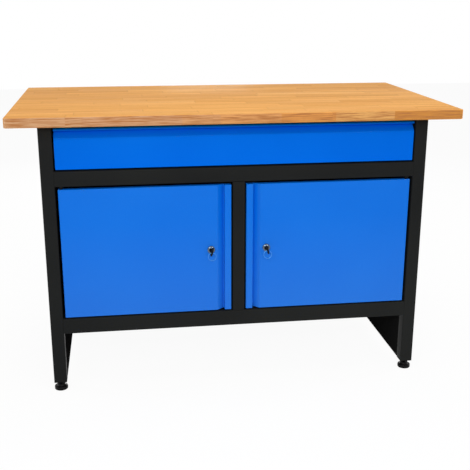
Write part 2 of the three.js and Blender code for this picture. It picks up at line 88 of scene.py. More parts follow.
def levels(level):
    """Sets whether corners, edges or faces are selected."""
    bpy.context.tool_settings.mesh_select_mode = [level == each for each in ("verts", "edges", "faces")]


def edit(piece, level):
    """Opens a piece in edit mode."""
    only(piece)
    levels(level)
    bpy.ops.object.mode_set(mode="EDIT")


def leave():
    """Closes the piece that is being edited."""
    bpy.ops.object.mode_set(mode="OBJECT")


def look_outward():
    """Turns all faces of the piece that is being edited outward."""
    bpy.ops.mesh.select_all(action="SELECT")
    bpy.ops.mesh.normals_make_consistent()


def turned(name, centre, axis, outline, facets):
    """Draws an outline of (radius, height) by extruding its points, and spins it about an axis."""
    axis = Vector(axis)
    spots = [Vector(centre) + Vector((radius, 0, 0)) + axis * height for radius, height in outline]
    bpy.ops.mesh.primitive_plane_add(size=SEED_SIZE, location=spots[0])
    piece = named(name)
    edit(piece, "verts")
    bpy.ops.mesh.select_all(action="SELECT")
    bpy.ops.mesh.merge(type="CENTER")
    for here, there in zip(spots, spots[1:]):
        bpy.ops.mesh.extrude_vertices_move(TRANSFORM_OT_translate={"value": there - here})
    bpy.ops.mesh.select_all(action="SELECT")
    bpy.ops.mesh.spin(steps=facets, angle=2 * math.pi, center=centre, axis=axis)
    bpy.ops.mesh.select_all(action="SELECT")
    bpy.ops.mesh.remove_doubles(threshold=MERGE_WITHIN)
    look_outward()
    leave()
    return piece


def threaded(root, crest, start, turns):
    """The outline of a thread, from its start upwards."""
    points = []
    for turn in range(turns):
        height = start + turn * THREAD_PITCH
        points += [(root, height), (crest, height + THREAD_PITCH / 2)]
    return points


def middle_of(node):
    """The middle of a CAD node's box."""
    low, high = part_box(node)
    return (low + high) / 2


def copied(piece, name, move=(0, 0, 0), flip=1):
    """Copies a piece that isn't mounted yet, with a mesh of its own, to another place or mirrored in x."""
    only(piece)
    bpy.ops.object.duplicate()
    copy = bpy.context.active_object
    copy.location = move
    copy.scale.x = flip
    copy = named(name)
    if flip < 0:
        edit(copy, "faces")
        bpy.ops.mesh.select_all(action="SELECT")
        bpy.ops.mesh.flip_normals()
        leave()
    return copy


def repeated(piece, nodes):
    """Copies a piece of the first CAD node to the places of the other nodes, and gives all of them."""
    first = nodes[0]
    pieces = [piece]
    for node in nodes[1:]:
        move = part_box(node)[0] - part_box(first)[0]
        pieces.append(copied(piece, piece.name.replace(first, node), move))
    return pieces


def mount(piece, body, slot, finish, *nodes):
    """Gives a piece its finish and puts it on its body in place of the CAD nodes that it stands for."""
    only(piece)
    bpy.ops.object.shade_smooth_by_angle(angle=SMOOTH_ANGLE)
    piece.data.materials.clear()
    piece.data.materials.append(finish)
    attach(piece, body)
    if nodes:
        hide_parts(*nodes)


def shade(red, green, blue):
    """A colour from its 0 to 255 values as seen on a screen."""
    parts = [each / 255 for each in (red, green, blue)]
    return (*(part / 12.92 if part < 0.04045 else ((part + 0.055) / 1.055) ** 2.4 for part in parts), 1)


class Finish:
    """A material that is built up from shader nodes, with patterns that lie still on the piece."""

    def __init__(self, name):
        self.material = bpy.data.materials.new(name)
        self.material.use_nodes = True
        self.tree = self.material.node_tree
        self.place = self.add("TexCoord", {}, "Object")

    def put(self, node, inputs):
        """Links sockets to the inputs of a node, and sets the other inputs to plain values."""
        for key, value in inputs.items():
            if isinstance(value, bpy.types.NodeSocket):
                self.tree.links.new(value, node.inputs[key])
            else:
                node.inputs[key].default_value = value

    def add(self, kind, inputs, out=0, **settings):
        """Adds a node and gives one of its outputs."""
        node = self.tree.nodes.new("ShaderNode" + kind)
        for key, value in settings.items():
            setattr(node, key, value)
        self.put(node, inputs)
        return node.outputs[out]

    def noise(self, scale, detail, **more):
        """Cloudy noise, alike in all directions."""
        return self.add("TexNoise", {"Vector": self.place, "Scale": scale, "Detail": detail, **more}, "Fac")

    def grain(self, place, scales, detail, turn=(0, 0, 0), **more):
        """Noise drawn out to lines by a scale of its own along x, y and z."""
        lines = self.add("Mapping", {"Vector": place, "Scale": scales, "Rotation": turn})
        return self.add("TexNoise", {"Vector": lines, "Scale": 1, "Detail": detail, **more}, "Fac")

    def spread(self, value, given, wanted):
        """Maps a given range of values to the one that is wanted, and holds its ends."""
        return self.add("MapRange", {0: value, 1: given[0], 2: given[1], 3: wanted[0], 4: wanted[1]})

    def roughness(self, noise, wanted):
        """Roughness that follows a noise, which keeps mostly between 0.3 and 0.7."""
        return self.spread(noise, (0.3, 0.7), wanted)

    def blend(self, factor, first, second):
        """A mix of two colours."""
        return self.add("Mix", {0: factor, 6: first, 7: second}, 2, data_type="RGBA")

    def bump(self, strength, distance, height):
        """Fine relief."""
        return self.add("Bump", {"Strength": strength, "Distance": distance, "Height": height})

    def finished(self, inputs):
        """Feeds the shader, and gives the material."""
        self.put(self.tree.nodes["Principled BSDF"], inputs)
        return self.material


def moulded_plastic(name, dark, light, rough):
    """Plastic with the soft mottle and fine grain of an etched mould."""
    look = Finish(name)
    mottle = look.noise(scale=60, detail=3)
    grain = look.noise(scale=1400, detail=2)
    return look.finished({
        "Base Color": look.blend(mottle, dark, light),
        "Roughness": look.roughness(mottle, rough),
        "Normal": look.bump(strength=0.12, distance=0.0004, height=grain),
        "Specular IOR Level": 0.08,
    })


def plated_steel(name, dark, light, rough, scales):
    """Plated steel with cloudy plating and fine drawn lines along one direction."""
    look = Finish(name)
    lines = look.grain(look.place, scales, detail=3)
    return look.finished({
        "Base Color": look.blend(look.noise(scale=45, detail=4), dark, light),
        "Metallic": 1.0,
        "Roughness": look.roughness(lines, rough),
        "Normal": look.bump(strength=0.06, distance=0.0003, height=lines),
    })


black_plastic = moulded_plastic("black_plastic", shade(12, 12, 13), shade(20, 20, 21), rough=(0.3, 0.46))
black_zinc = plated_steel(
    "black_zinc_plate", shade(26, 27, 30), shade(40, 40, 42), rough=(0.34, 0.5), scales=(900, 40, 900)
)

stud_outline = [
    (0, STUD_START), (STUD_ROOT, STUD_START),
    *threaded(STUD_ROOT, STUD_CREST, STUD_START + STUD_LEAD, STUD_TURNS),
    (STUD_ROOT, STUD_TOP - STUD_POINT), (STUD_ROOT - STUD_POINT, STUD_TOP), (0, STUD_TOP),
]

under = middle_of(FEET[0])
under.z = 0
first_pad = turned(FEET[0] + "_pad", under, UPWARD, PAD_OUTLINE, facets=48)
first_stud = turned(FEET[0] + "_stud", under, UPWARD, stud_outline, facets=24)
for foot, pad, stud in zip(FEET, repeated(first_pad, FEET), repeated(first_stud, FEET)):
    mount(pad, foot, "black_plastic", black_plastic, foot)
    mount(stud, foot, "zinc_steel", black_zinc)


# Leg plugs
# Black plastic plugs with a threaded middle, driven into the open lower ends of the legs.
# A square flange closes the tube, and the foot's stud screws through it.

PLUG_FLANGE = 0.0018
PLUG_SHOULDER = 0.0022
PLUG_CORNER = 0.003
PLUG_RIM = 0.006
PLUG_DISH = 0.0006
PLUG_BORE = 0.0053
PLUG_BORE_LENGTH = 0.08
QUARTER_TURN = math.pi / 2
X, Y, Z = range(3)
ALONG = 0.999
SQUARE = 0.99
PLUGS = [corner + "_leg_plug" for corner in CORNERS]


def block(name, low, high):
    """A cube at its size and place, ready to be shaped."""
    bpy.ops.mesh.primitive_cube_add(size=1, location=[(a + b) / 2 for a, b in zip(low, high)])
    bpy.context.active_object.scale = [b - a for a, b in zip(low, high)]
    return named(name)


def rod(name, centre, radius, length, axis, facets):
    """A cylinder along an axis, mostly to cut with."""
    turn = ((0, QUARTER_TURN, 0), (QUARTER_TURN, 0, 0), (0, 0, 0))[axis]
    bpy.ops.mesh.primitive_cylinder_add(
        vertices=facets, radius=radius, depth=length, location=centre, rotation=turn
    )
    return named(name)


def pick(piece, level, test):
    """In edit mode, selects the corners, edges or faces that pass a test."""
    levels(level)
    bpy.ops.mesh.select_all(action="DESELECT")
    mesh = bmesh.from_edit_mesh(piece.data)
    for item in getattr(mesh, level):
        if test(item):
            item.select_set(True)
    bmesh.update_edit_mesh(piece.data)


def runs(axis):
    """A test for edges along x, y or z."""
    def test(edge):
        way = edge.verts[1].co - edge.verts[0].co
        return abs(way[axis]) > ALONG * way.length
    return test


def looks(axis, sign):
    """A test for faces that look along x, y or z, or against it where the sign is negative."""
    return lambda face: face.normal[axis] * sign > SQUARE


def bevelled(piece, test, offset, segments):
    """In edit mode, rounds the edges that pass a test."""
    pick(piece, "edges", test)
    bpy.ops.mesh.bevel(offset=offset, segments=segments, affect="EDGES")


def rounded(piece, test, offset, segments):
    """Rounds the edges that pass a test."""
    edit(piece, "edges")
    bevelled(piece, test, offset, segments)
    leave()


def modify(piece, kind, **settings):
    """Adds a modifier and applies it."""
    only(piece)
    step = piece.modifiers.new(kind.lower(), kind)
    for key, value in settings.items():
        setattr(step, key, value)
    bpy.ops.object.modifier_apply(modifier=step.name)


def combine(piece, tool, operation):
    """Cuts a piece with a tool, or joins the two."""
    modify(piece, "BOOLEAN", operation=operation, object=tool, solver="EXACT")
    bpy.data.objects.remove(tool)


low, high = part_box(PLUGS[0])
first_plug = block(PLUGS[0] + "_moulding", low, (high.x, high.y, low.z + PLUG_FLANGE))
edit(first_plug, "faces")
pick(first_plug, "faces", looks(Z, -1))
bpy.ops.mesh.inset(thickness=PLUG_RIM, depth=-PLUG_DISH)
pick(first_plug, "faces", looks(Z, 1))
bpy.ops.mesh.inset(thickness=PLUG_SHOULDER)
rise = high.z - low.z - PLUG_FLANGE
bpy.ops.mesh.extrude_region_move(TRANSFORM_OT_translate={"value": (0, 0, rise)})
leave()
rounded(first_plug, runs(Z), PLUG_CORNER, segments=5)
bore = rod("plug_bore", middle_of(PLUGS[0]), PLUG_BORE, PLUG_BORE_LENGTH, Z, facets=32)
combine(first_plug, bore, "DIFFERENCE")
for node, plug in zip(PLUGS, repeated(first_plug, PLUGS)):
    mount(plug, "frame", "black_plastic", black_plastic, node)


# Legs
# Four 40 mm square steel tubes with rolled corners, cut square and coated satin black.
# The rails and the side panels are welded between them.

LEG_WALL = 0.002
LEG_CORNER = 0.003
LEGS = [corner + "_leg" for corner in CORNERS]
# Pale tone of a painted reflection of the floor, which grows towards the foot of the doors.
PAINTED_SHEEN_TONE = shade(205, 208, 208)
COAT_ROUGHNESS = 0.07


def powder_coat(name, deep, plain, pale, rough, specular, gloss, painted_sheen=None):
    """Baked powder coat: a slight drift of tone, fine speckle and the orange peel of flowed powder.
    Painted sheen is a foot level, a head level and a share: a pale film of painted reflection of the floor
    grows to that share towards the foot."""
    look = Finish(name)
    drift = look.spread(look.noise(scale=2.2, detail=2), (0.35, 0.65), (0, 1))
    fleck = look.spread(look.noise(scale=480, detail=2), (0.55, 0.85), (0, 0.5))
    peel = look.noise(scale=260, detail=3, Roughness=0.45)
    colour = look.blend(fleck, look.blend(drift, deep, plain), pale)
    # Painted reflection of the floor: the colour turns paler towards the foot.
    if painted_sheen:
        foot, head, share = painted_sheen
        height = look.add("SeparateXYZ", {0: look.place}, Z)
        colour = look.blend(look.spread(height, (foot, head), (share, 0)), colour, PAINTED_SHEEN_TONE)
    return look.finished({
        "Base Color": colour,
        "Roughness": look.roughness(peel, rough),
        "Normal": look.bump(strength=0.05, distance=0.0005, height=peel),
        "Specular IOR Level": specular,
        "Coat Weight": gloss,
        "Coat Roughness": COAT_ROUGHNESS,
    })


def square_to(axis):
    """A test for faces square to x, y or z."""
    return lambda face: abs(face.normal[axis]) > SQUARE


def opened(piece, test):
    """Takes away the faces that pass a test."""
    edit(piece, "faces")
    pick(piece, "faces", test)
    bpy.ops.mesh.delete(type="ONLY_FACE")
    leave()


def thickened(piece, sheet, side=-1):
    """Gives a surface the thickness of its sheet, behind it or, with a side of 1, in front of it."""
    modify(piece, "SOLIDIFY", thickness=sheet, offset=side, use_even_offset=True)


black_powder = powder_coat(
    "black_powder", shade(29, 30, 30), shade(35, 36, 35), shade(43, 44, 43),
    rough=(0.42, 0.55), specular=0.03, gloss=0,
)

first_leg = block(LEGS[0] + "_tube", *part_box(LEGS[0]))
opened(first_leg, square_to(Z))
rounded(first_leg, runs(Z), LEG_CORNER, segments=6)
thickened(first_leg, LEG_WALL)
for node, leg in zip(LEGS, repeated(first_leg, LEGS)):
    mount(leg, "frame", "black_powder", black_powder, node)


# Side panels
# Sheet steel panels folded outward at both edges and welded to the legs, flush with their inner faces.
# Two tabs in each panel are cut on three sides and bent in to carry the outer edge of a shelf.

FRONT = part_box("front_left_leg")[0].y
PANEL_INNER = -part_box("front_left_leg")[1].x
PANEL_SHEET = 0.0015
PANEL_FLANGE = 0.0165
PANEL_BEND = 0.002
SAME_PLACE = 1e-5
SEAT_GAP = 0.0002
CUT_PAST = 0.001
TAB_REACH = 0.014
TAB_WIDTH = 0.024
TAB_SHEET = 0.002
TAB_CORNER = 0.004
TAB_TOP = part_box("left_shelf")[0].z - SEAT_GAP
TAB_Y = [FRONT + 0.1302, FRONT + 0.5298]
RIVET_Y = [FRONT + 0.07, FRONT + 0.3, FRONT + 0.53]
RIVET_OUTLINE = [
    (0, 0.0016), (0.0018, 0.0014), (0.0031, 0.0008), (0.0036, 0.0), (0.0036, -0.0004), (0, -0.0004)
]


def spot(along, u, v, w):
    """A point of a folded section: (y, z) runs along x, (z, x) along y and (x, y) along z."""
    return Vector(((w, u, v), (v, w, u), (u, v, w))[along])


def inner_edge(edge):
    """A test for edges between two faces."""
    return len(edge.link_faces) == 2


def folded(name, along, low, high, line, sheet, bends, lip=0.0):
    """Folds a strip of sheet along a line: a plane for the first face, an extrusion for each further face
    and a bevel for each fold. The sheet lies left of the line, or right of it if its thickness is negative.
    With a lip, both ends are closed by a plate with rounded edges, and the sheet lies inside."""
    run = spot(along, 0, 0, 1)
    corners = [spot(along, u, v, 0) for u, v in line]
    way = corners[1] - corners[0]
    turn = Matrix((run, way.normalized(), run.cross(way.normalized()))).transposed()
    middle = (corners[0] + corners[1]) / 2 + run * (low + high) / 2
    bpy.ops.mesh.primitive_plane_add(size=1, location=middle, rotation=turn.to_euler())
    bpy.context.active_object.scale = (high - low, way.length, 1)
    piece = named(name)

    def on(corner):
        def near(point):
            return (point - run * point.dot(run) - corner).length < SAME_PLACE
        return lambda edge: all(near(vert.co) for vert in edge.verts)

    def across(level):
        return lambda edge: all(abs(vert.co.dot(run) - level) < SAME_PLACE for vert in edge.verts)

    edit(piece, "edges")
    pick(piece, "edges", on(corners[1]))
    for here, there in zip(corners[1:], corners[2:]):
        bpy.ops.mesh.extrude_edges_move(TRANSFORM_OT_translate={"value": there - here})
    for before, corner, after, bend in zip(corners, corners[1:], corners[2:], bends):
        angle = (corner - before).angle(after - corner)
        bevelled(piece, on(corner), bend * math.tan(angle / 2), segments=6)
    if lip:
        for level in (low, high):
            pick(piece, "edges", across(level))
            bpy.ops.mesh.edge_face_add()
        for level in (low, high):
            bevelled(piece, lambda edge: inner_edge(edge) and across(level)(edge), lip, segments=3)
        look_outward()
    leave()
    inside = -1 if lip or sheet < 0 else 1
    thickened(piece, abs(sheet), inside)
    return piece


def bent_tabs(piece, root, tip, window):
    """Bends shelf tabs out of a panel and leaves the windows that they were cut from."""
    def at_tip(edge):
        return abs(edge.verts[0].co.x - tip) < SAME_PLACE

    for y in TAB_Y:
        low = (window[0], y - TAB_WIDTH / 2, TAB_TOP)
        high = (window[1], y + TAB_WIDTH / 2, TAB_TOP + TAB_REACH)
        combine(piece, block("tab_window", low, high), "DIFFERENCE")
        low = (min(root, tip), y - TAB_WIDTH / 2, TAB_TOP - TAB_SHEET)
        high = (max(root, tip), y + TAB_WIDTH / 2, TAB_TOP)
        tab = block("tab", low, high)
        rounded(tab, lambda edge: runs(Z)(edge) and at_tip(edge), TAB_CORNER, segments=5)
        combine(piece, tab, "UNION")


def mirrored(piece):
    """Copies a piece of the left side to the right."""
    return copied(piece, piece.name.replace("left", "right"), flip=-1)


def sides(*pieces):
    """The left pieces, and copies of them mirrored to the right, each with the name of their side."""
    return (("left", pieces), ("right", [mirrored(piece) for piece in pieces]))


def both_sides(pieces):
    """The left pieces, and copies of them mirrored to the right, in one list."""
    return [*pieces, *[mirrored(piece) for piece in pieces]]


def placed(piece, turn, at=(0, 0, 0)):
    """Turns a piece that was made at the origin, and sets it in its place."""
    only(piece)
    piece.rotation_euler = turn
    piece.location = at
    return named(piece.name)


def spaced(piece, name, places):
    """Copies a piece from the origin to each place, with a counted name, and takes the first one away."""
    copies = [copied(piece, f"{name}_{count}", at) for count, at in enumerate(places, 1)]
    bpy.data.objects.remove(piece)
    return copies


# A darker copy of the black coat, on a matt finish: its darker tone is painted shade of the cabinet's
# inside.
matt_black_painted_shade = powder_coat(
    "matt_black_powder", shade(22, 22, 22), shade(27, 27, 27), shade(34, 34, 34),
    rough=(0.6, 0.7), specular=0, gloss=0,
)

low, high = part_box("left_side_panel")
flange = -PANEL_INNER - PANEL_FLANGE
line = [(flange, low.y), (-PANEL_INNER, low.y), (-PANEL_INNER, high.y), (flange, high.y)]
left_panel = folded("left_side_panel_sheet", Z, low.z, high.z, line, PANEL_SHEET, [PANEL_BEND] * 2)
window = (-PANEL_INNER - PANEL_SHEET - CUT_PAST, -PANEL_INNER + CUT_PAST)
bent_tabs(left_panel, -PANEL_INNER - PANEL_SHEET / 2, -PANEL_INNER + TAB_REACH, window)
for side, (panel,) in sides(left_panel):
    mount(panel, "frame", "black_powder", matt_black_painted_shade, f"{side}_side_panel")

# Three zinc plated rivets hold the drawer runner to each panel, with their heads outside.
zinc_plate = plated_steel(
    "zinc_plate", shade(178, 181, 186), shade(205, 204, 196), rough=(0.24, 0.4), scales=(900, 40, 900)
)

rivet_head = turned("rivet_head", (0, 0, 0), UPWARD, RIVET_OUTLINE, facets=16)
rivet_head = placed(rivet_head, (0, -QUARTER_TURN, 0))
runner_level = middle_of("left_runner_fixed").z
rivet_places = [(-PANEL_INNER - PANEL_SHEET, y, runner_level) for y in RIVET_Y]
for rivet in both_sides(spaced(rivet_head, "left_runner_rivet", rivet_places)):
    mount(rivet, "frame", "zinc_steel", zinc_plate)


# Rails
# Folded steel channels with their ends welded into the legs: two in front, flush with them, and two behind.
# Two more channels, open below, lie on top of the side panels and carry the worktop.

RAIL_WALL = 0.002
RAIL_BEND = 0.003
RAIL_DEPTH = 0.04
RAIL_WELD = 0.0008
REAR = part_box("rear_left_leg")[1].y

for node, web, inward in (
    ("middle_rail", FRONT, 1), ("bottom_rail", FRONT, 1),
    ("rear_bottom_rail", REAR, -1), ("rear_top_rail", REAR, -1),
):
    low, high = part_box(node)
    tip = web + inward * RAIL_DEPTH
    line = [(tip, low.z), (web, low.z), (web, high.z), (tip, high.z)]
    left_end = low.x - RAIL_WELD
    right_end = high.x + RAIL_WELD
    rail = folded(node + "_channel", X, left_end, right_end, line, -inward * RAIL_WALL, [RAIL_BEND] * 2)
    mount(rail, "frame", "black_powder", black_powder, node)

low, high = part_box("left_top_rail")
line = [(low.z, low.x), (high.z, low.x), (high.z, high.x), (low.z, high.x)]
left_rail = folded("left_top_rail_channel", Y, low.y, high.y, line, RAIL_WALL, [RAIL_BEND] * 2)
for side, (rail,) in sides(left_rail):
    mount(rail, "frame", "black_powder", matt_black_painted_shade, f"{side}_top_rail")


# Centre post
# A hat section of folded steel between the two front rails, flush with them.
# The doors close against its flanges, which carry rubber buffers and hold the lock cams.

POST_HALF = 0.019
POST_STEP = 0.026
POST_BENDS = [0.002, 0.003, 0.003, 0.002]
FORWARD = (0, -1, 0)
BUFFER_X = 0.029
BUFFER_LEVELS = (0.3, 0.62)
BUFFER_OUTLINE = [
    (0, 0.0034), (0.0016, 0.0033), (0.003, 0.0026), (0.0038, 0.0014), (0.004, 0.0002), (0.004, -0.0004),
    (0, -0.0004),
]

low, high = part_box("centre_post")
step = FRONT + POST_STEP
line = [
    (low.x, step), (-POST_HALF, step), (-POST_HALF, FRONT),
    (POST_HALF, FRONT), (POST_HALF, step), (high.x, step),
]
post = folded("centre_post_hat", Z, low.z, high.z, line, RAIL_WALL, POST_BENDS)
mount(post, "frame", "black_powder", black_powder, "centre_post")

buffer_at = (-BUFFER_X, step, BUFFER_LEVELS[0])
lower_buffer = turned("left_lower_buffer", buffer_at, FORWARD, BUFFER_OUTLINE, facets=24)
rise = (0, 0, BUFFER_LEVELS[1] - BUFFER_LEVELS[0])
for buffer in both_sides([lower_buffer, copied(lower_buffer, "left_upper_buffer", rise)]):
    mount(buffer, "frame", "black_plastic", black_plastic)


# Back panel
# One folded sheet between the rear legs, from the lower to the upper rear rail.
# Its edges lap the rolled corners of the rails and legs, and pan head screws hold it to the rails.

BACK_LAP = 0.0006
BACK_SCREW_X = (-0.5, -0.17, 0.17, 0.5)
BACK_SCREW_INSET = 0.015
RECESS_HALF = 0.0005
RECESS_DEPTH = 0.0011
SCREW_RECESS = 0.0019
SCREW_OUTLINE = [
    (0, 0.0021), (0.0016, 0.002), (0.0031, 0.0015), (0.0038, 0.0006), (0.0039, 0.0), (0.0039, -0.0004),
    (0, -0.0004),
]


def cross_recess(screw, top, length):
    """Cuts a cross for the driver into a screw that stands upright at the origin."""
    for x, y in ((length, RECESS_HALF), (RECESS_HALF, length)):
        slot = block("recess", (-x, -y, top - RECESS_DEPTH), (x, y, top + CUT_PAST))
        combine(screw, slot, "DIFFERENCE")
    return screw


low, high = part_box("back_panel")
left_edge = low.x - BACK_LAP
right_edge = high.x + BACK_LAP
line = [(left_edge, low.y), (left_edge, high.y), (right_edge, high.y), (right_edge, low.y)]
back_panel = folded(
    "back_panel_sheet", Z, low.z - BACK_LAP, high.z + BACK_LAP, line, -PANEL_SHEET, [PANEL_BEND] * 2
)
mount(back_panel, "frame", "black_powder", matt_black_painted_shade, "back_panel")

pan_head = turned("pan_head", (0, 0, 0), UPWARD, SCREW_OUTLINE, facets=24)
pan_head = cross_recess(pan_head, SCREW_OUTLINE[0][1], SCREW_RECESS)
back_head = placed(copied(pan_head, "back_head"), (-QUARTER_TURN, 0, 0))
screw_levels = (low.z + BACK_SCREW_INSET, high.z - BACK_SCREW_INSET)
screw_places = [(x, high.y, z) for x in BACK_SCREW_X for z in screw_levels]
for screw in spaced(back_head, "back_screw", screw_places):
    mount(screw, "frame", "zinc_steel", zinc_plate)


# Cabinet floor
# A steel sheet laid on the flanges of the lower rails.
# Its middle is pressed down a little, which stiffens it.

FLOOR_RIM = 0.055
FLOOR_SLOPE = 0.006
FLOOR_DROP = 0.003
FLOOR_EDGE = 0.0005
FLOOR_CREASE = 0.2


def creased(angle):
    """A test for edges where the surface turns by more than an angle."""
    return lambda edge: edge.calc_face_angle(0) > angle


floor_sheet = block("cabinet_floor_sheet", *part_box("cabinet_floor"))
edit(floor_sheet, "faces")
pick(floor_sheet, "faces", square_to(Z))
bpy.ops.mesh.inset(thickness=FLOOR_RIM)
bpy.ops.mesh.inset(thickness=FLOOR_SLOPE)
bpy.ops.transform.translate(value=(0, 0, -FLOOR_DROP))
leave()
rounded(floor_sheet, creased(FLOOR_CREASE), FLOOR_EDGE, segments=2)
mount(floor_sheet, "frame", "black_powder", matt_black_painted_shade, "cabinet_floor")


# Centre partition
# A sheet folded at both ends that parts the cabinet in two behind the post.
# Tabs bent out to both sides carry the inner edges of the shelves.

low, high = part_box("centre_partition")
web = PANEL_SHEET / 2
line = [(POST_HALF, low.y), (-web, low.y), (-web, high.y), (POST_HALF, high.y)]
partition = folded("centre_partition_sheet", Z, low.z, high.z, line, -PANEL_SHEET, [PANEL_BEND] * 2)
for way in (-1, 1):
    bent_tabs(partition, 0, way * (web + TAB_REACH), (-web - CUT_PAST, web + CUT_PAST))
mount(partition, "frame", "black_powder", matt_black_painted_shade, "centre_partition")


# Shelves
# Folded steel pans, open below, one in each half of the cabinet.
# They lie loose on the tabs of the panels and of the partition.

SHELF_SHEET = 0.00125
SHELF_BEND = 0.0025

left_shelf = block("left_shelf_pan", *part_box("left_shelf"))
opened(left_shelf, looks(Z, -1))
rounded(left_shelf, inner_edge, SHELF_BEND, segments=4)
thickened(left_shelf, SHELF_SHEET)
for side, (shelf,) in sides(left_shelf):
    mount(shelf, "frame", "black_powder", matt_black_painted_shade, f"{side}_shelf")


# Doors
# Pans folded from 1.25 mm sheet and coated blue, with a grip groove folded in beside the post.
# A hat section stiffens each door, and two steel pins turn in plastic bushes in the rails.

DOOR_SHEET = 0.00125
DOOR_RETURN = 0.009
DOOR_STRIP = 0.0215
DOOR_BENDS = [0.0018, 0.003, 0.008, 0.002, 0.002, 0.0025, 0.003, 0.0018]
DOOR_LIP = 0.0012
GROOVE_OPENING = 0.0225
GROOVE_BOTTOM = FRONT + 0.017
GROOVE_FLOOR = 0.003
LOCK_BORE = 0.0092
LOCK_BORE_LENGTH = 0.008
STIFFENER_HALF = 0.03
STIFFENER_TIP = 0.044
STIFFENER_BEND = 0.0018
STIFFENER_INSET = 0.0017
PIN_OUTLINE = [
    (0, 0), (0.0034, 0), (0.004, 0.0006), (0.004, 0.014), (0.0064, 0.014), (0.007, 0.0146),
    (0.007, 0.0164), (0.0064, 0.017), (0.004, 0.017),
]
PIN_RADIUS = 0.004
PIN_POINT = 0.0008
BUSH_BORE = 0.0043
BUSH_FLANGE = 0.009
BUSH_FACE = [(BUSH_BORE, 0.0004), (0.0047, 0), (0.0084, 0), (BUSH_FLANGE, 0.0006)]
BUSH_RADIUS = 0.0063
BUSH_TIP = 0.0058
BUSH_EDGE = 0.0006

# The doors turn paler towards their foot, a painted reflection of the floor.
blue_powder = powder_coat(
    "blue_powder", shade(5, 108, 217), shade(10, 113, 221), shade(30, 127, 227),
    rough=(0.34, 0.46), specular=0.03, gloss=0.18, painted_sheen=(0.25, 0.55, 0.021),
)

low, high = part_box("left_door")
back = high.y
groove_inner = high.x - DOOR_STRIP
groove_outer = groove_inner - GROOVE_OPENING
line = [
    (low.x + DOOR_RETURN, back), (low.x, back), (low.x, FRONT), (groove_outer, FRONT),
    (groove_inner - GROOVE_FLOOR, GROOVE_BOTTOM), (groove_inner, GROOVE_BOTTOM), (groove_inner, FRONT),
    (high.x, FRONT), (high.x, back), (high.x - DOOR_RETURN, back),
]
left_door = folded("left_door_pan", Z, low.z, high.z, line, DOOR_SHEET, DOOR_BENDS, DOOR_LIP)
left_lock_at = middle_of("left_lock_housing")
left_lock_at.y = FRONT
lock_bore = rod("lock_bore", left_lock_at, LOCK_BORE, LOCK_BORE_LENGTH, Y, facets=40)
combine(left_door, lock_bore, "DIFFERENCE")

middle = (low.x + high.x) / 2
near = FRONT + DOOR_SHEET + SEAT_GAP
far = back - DOOR_SHEET - SEAT_GAP
line = [
    (middle + STIFFENER_TIP, near), (middle + STIFFENER_HALF, near), (middle + STIFFENER_HALF, far),
    (middle - STIFFENER_HALF, far), (middle - STIFFENER_HALF, near), (middle - STIFFENER_TIP, near),
]
foot = low.z + STIFFENER_INSET
head = high.z - STIFFENER_INSET
left_hat = folded("left_door_stiffener_hat", Z, foot, head, line, -DOOR_SHEET, [STIFFENER_BEND] * 4)
for side, (door, hat) in sides(left_door, left_hat):
    body = f"{side}_door"
    mount(door, body, "blue_powder", blue_powder, body)
    mount(hat, body, "blue_powder", blue_powder, f"{body}_stiffener")

# The pins are turned, with a collar inside the pan, and each bush has a flange against its rail.
left_pins = []
left_bushes = []
for place, up, rail_level in (
    ("upper", 1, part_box("middle_rail")[0].z),
    ("lower", -1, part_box("bottom_rail")[1].z),
):
    low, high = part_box(f"left_door_{place}_pin")
    base = (low + high) / 2
    base.z = low.z if up > 0 else high.z
    length = high.z - low.z
    pin_outline = [
        *PIN_OUTLINE, (PIN_RADIUS, length - PIN_POINT), (PIN_RADIUS - PIN_POINT, length), (0, length)
    ]
    left_pins.append(turned(f"left_door_{place}_pin_turned", base, (0, 0, up), pin_outline, facets=32))

    low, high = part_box(f"left_door_{place}_bush")
    base.z = low.z if up > 0 else high.z
    height = high.z - low.z
    seat = abs(rail_level - base.z) - SEAT_GAP
    bush_outline = [
        *BUSH_FACE, (BUSH_FLANGE, seat), (BUSH_RADIUS, seat), (BUSH_RADIUS, height - BUSH_EDGE),
        (BUSH_TIP, height), (BUSH_BORE, height), BUSH_FACE[0],
    ]
    left_bushes.append(turned(f"left_door_{place}_bush_ring", base, (0, 0, up), bush_outline, facets=32))

for side, hinges in sides(*left_pins, *left_bushes):
    for place, pin, bush in zip(("upper", "lower"), hinges[:2], hinges[2:]):
        mount(pin, f"{side}_door", "zinc_steel", black_zinc, f"{side}_door_{place}_pin")
        mount(bush, "frame", "black_plastic", black_plastic, f"{side}_door_{place}_bush")


# Cam locks and keys
# A chromed housing is clamped in each door by a nut, and its plug carries a steel cam behind the post.
# A steel key with a black plastic head stands in the keyway, with a split ring through the head.

BARREL_MOUTH = [(0.0063, -0.02), (0.0086, -0.02)]
HOUSING_HEAD = [
    (0.009, 0.0002), (0.0114, 0.0002), (0.012, 0.0008), (0.012, 0.0026), (0.0118, 0.0031),
    (0.0114, 0.0035), (0.0075, 0.0058), (0.007, 0.006), (0.0066, 0.0059), (0.0063, 0.0055),
]
LOCK_PLUG_OUTLINE = [
    (0, -0.0288), (0.0056, -0.0288), (0.006, -0.0284), (0.006, 0.0039), (0.0055, 0.0045), (0, 0.0045)
]
CAM_SCREW_OUTLINE = [
    (0, 0.0345), (0.002, 0.0344), (0.004, 0.0338), (0.0049, 0.0328), (0.005, 0.0318),
    (0.0048, 0.0317), (0.002, 0.0317), (0.002, 0.022), (0, 0.022),
]
CAM_SCREW_RECESS = 0.003
CAM_CORNER = 0.003
CAM_EDGE = 0.0003
CAM_CREASE = 0.5
HEXAGON_EDGE = 0.0007
NUT_BORE = 0.0091
NUT_BORE_LENGTH = 0.02
KEYWAY = ((-0.00125, -0.006, -0.0045), (0.00125, 0.0135, 0.0045))
KEY_LEAN = (0, math.radians(14), 0)
KEY_THICKNESS = 0.0019
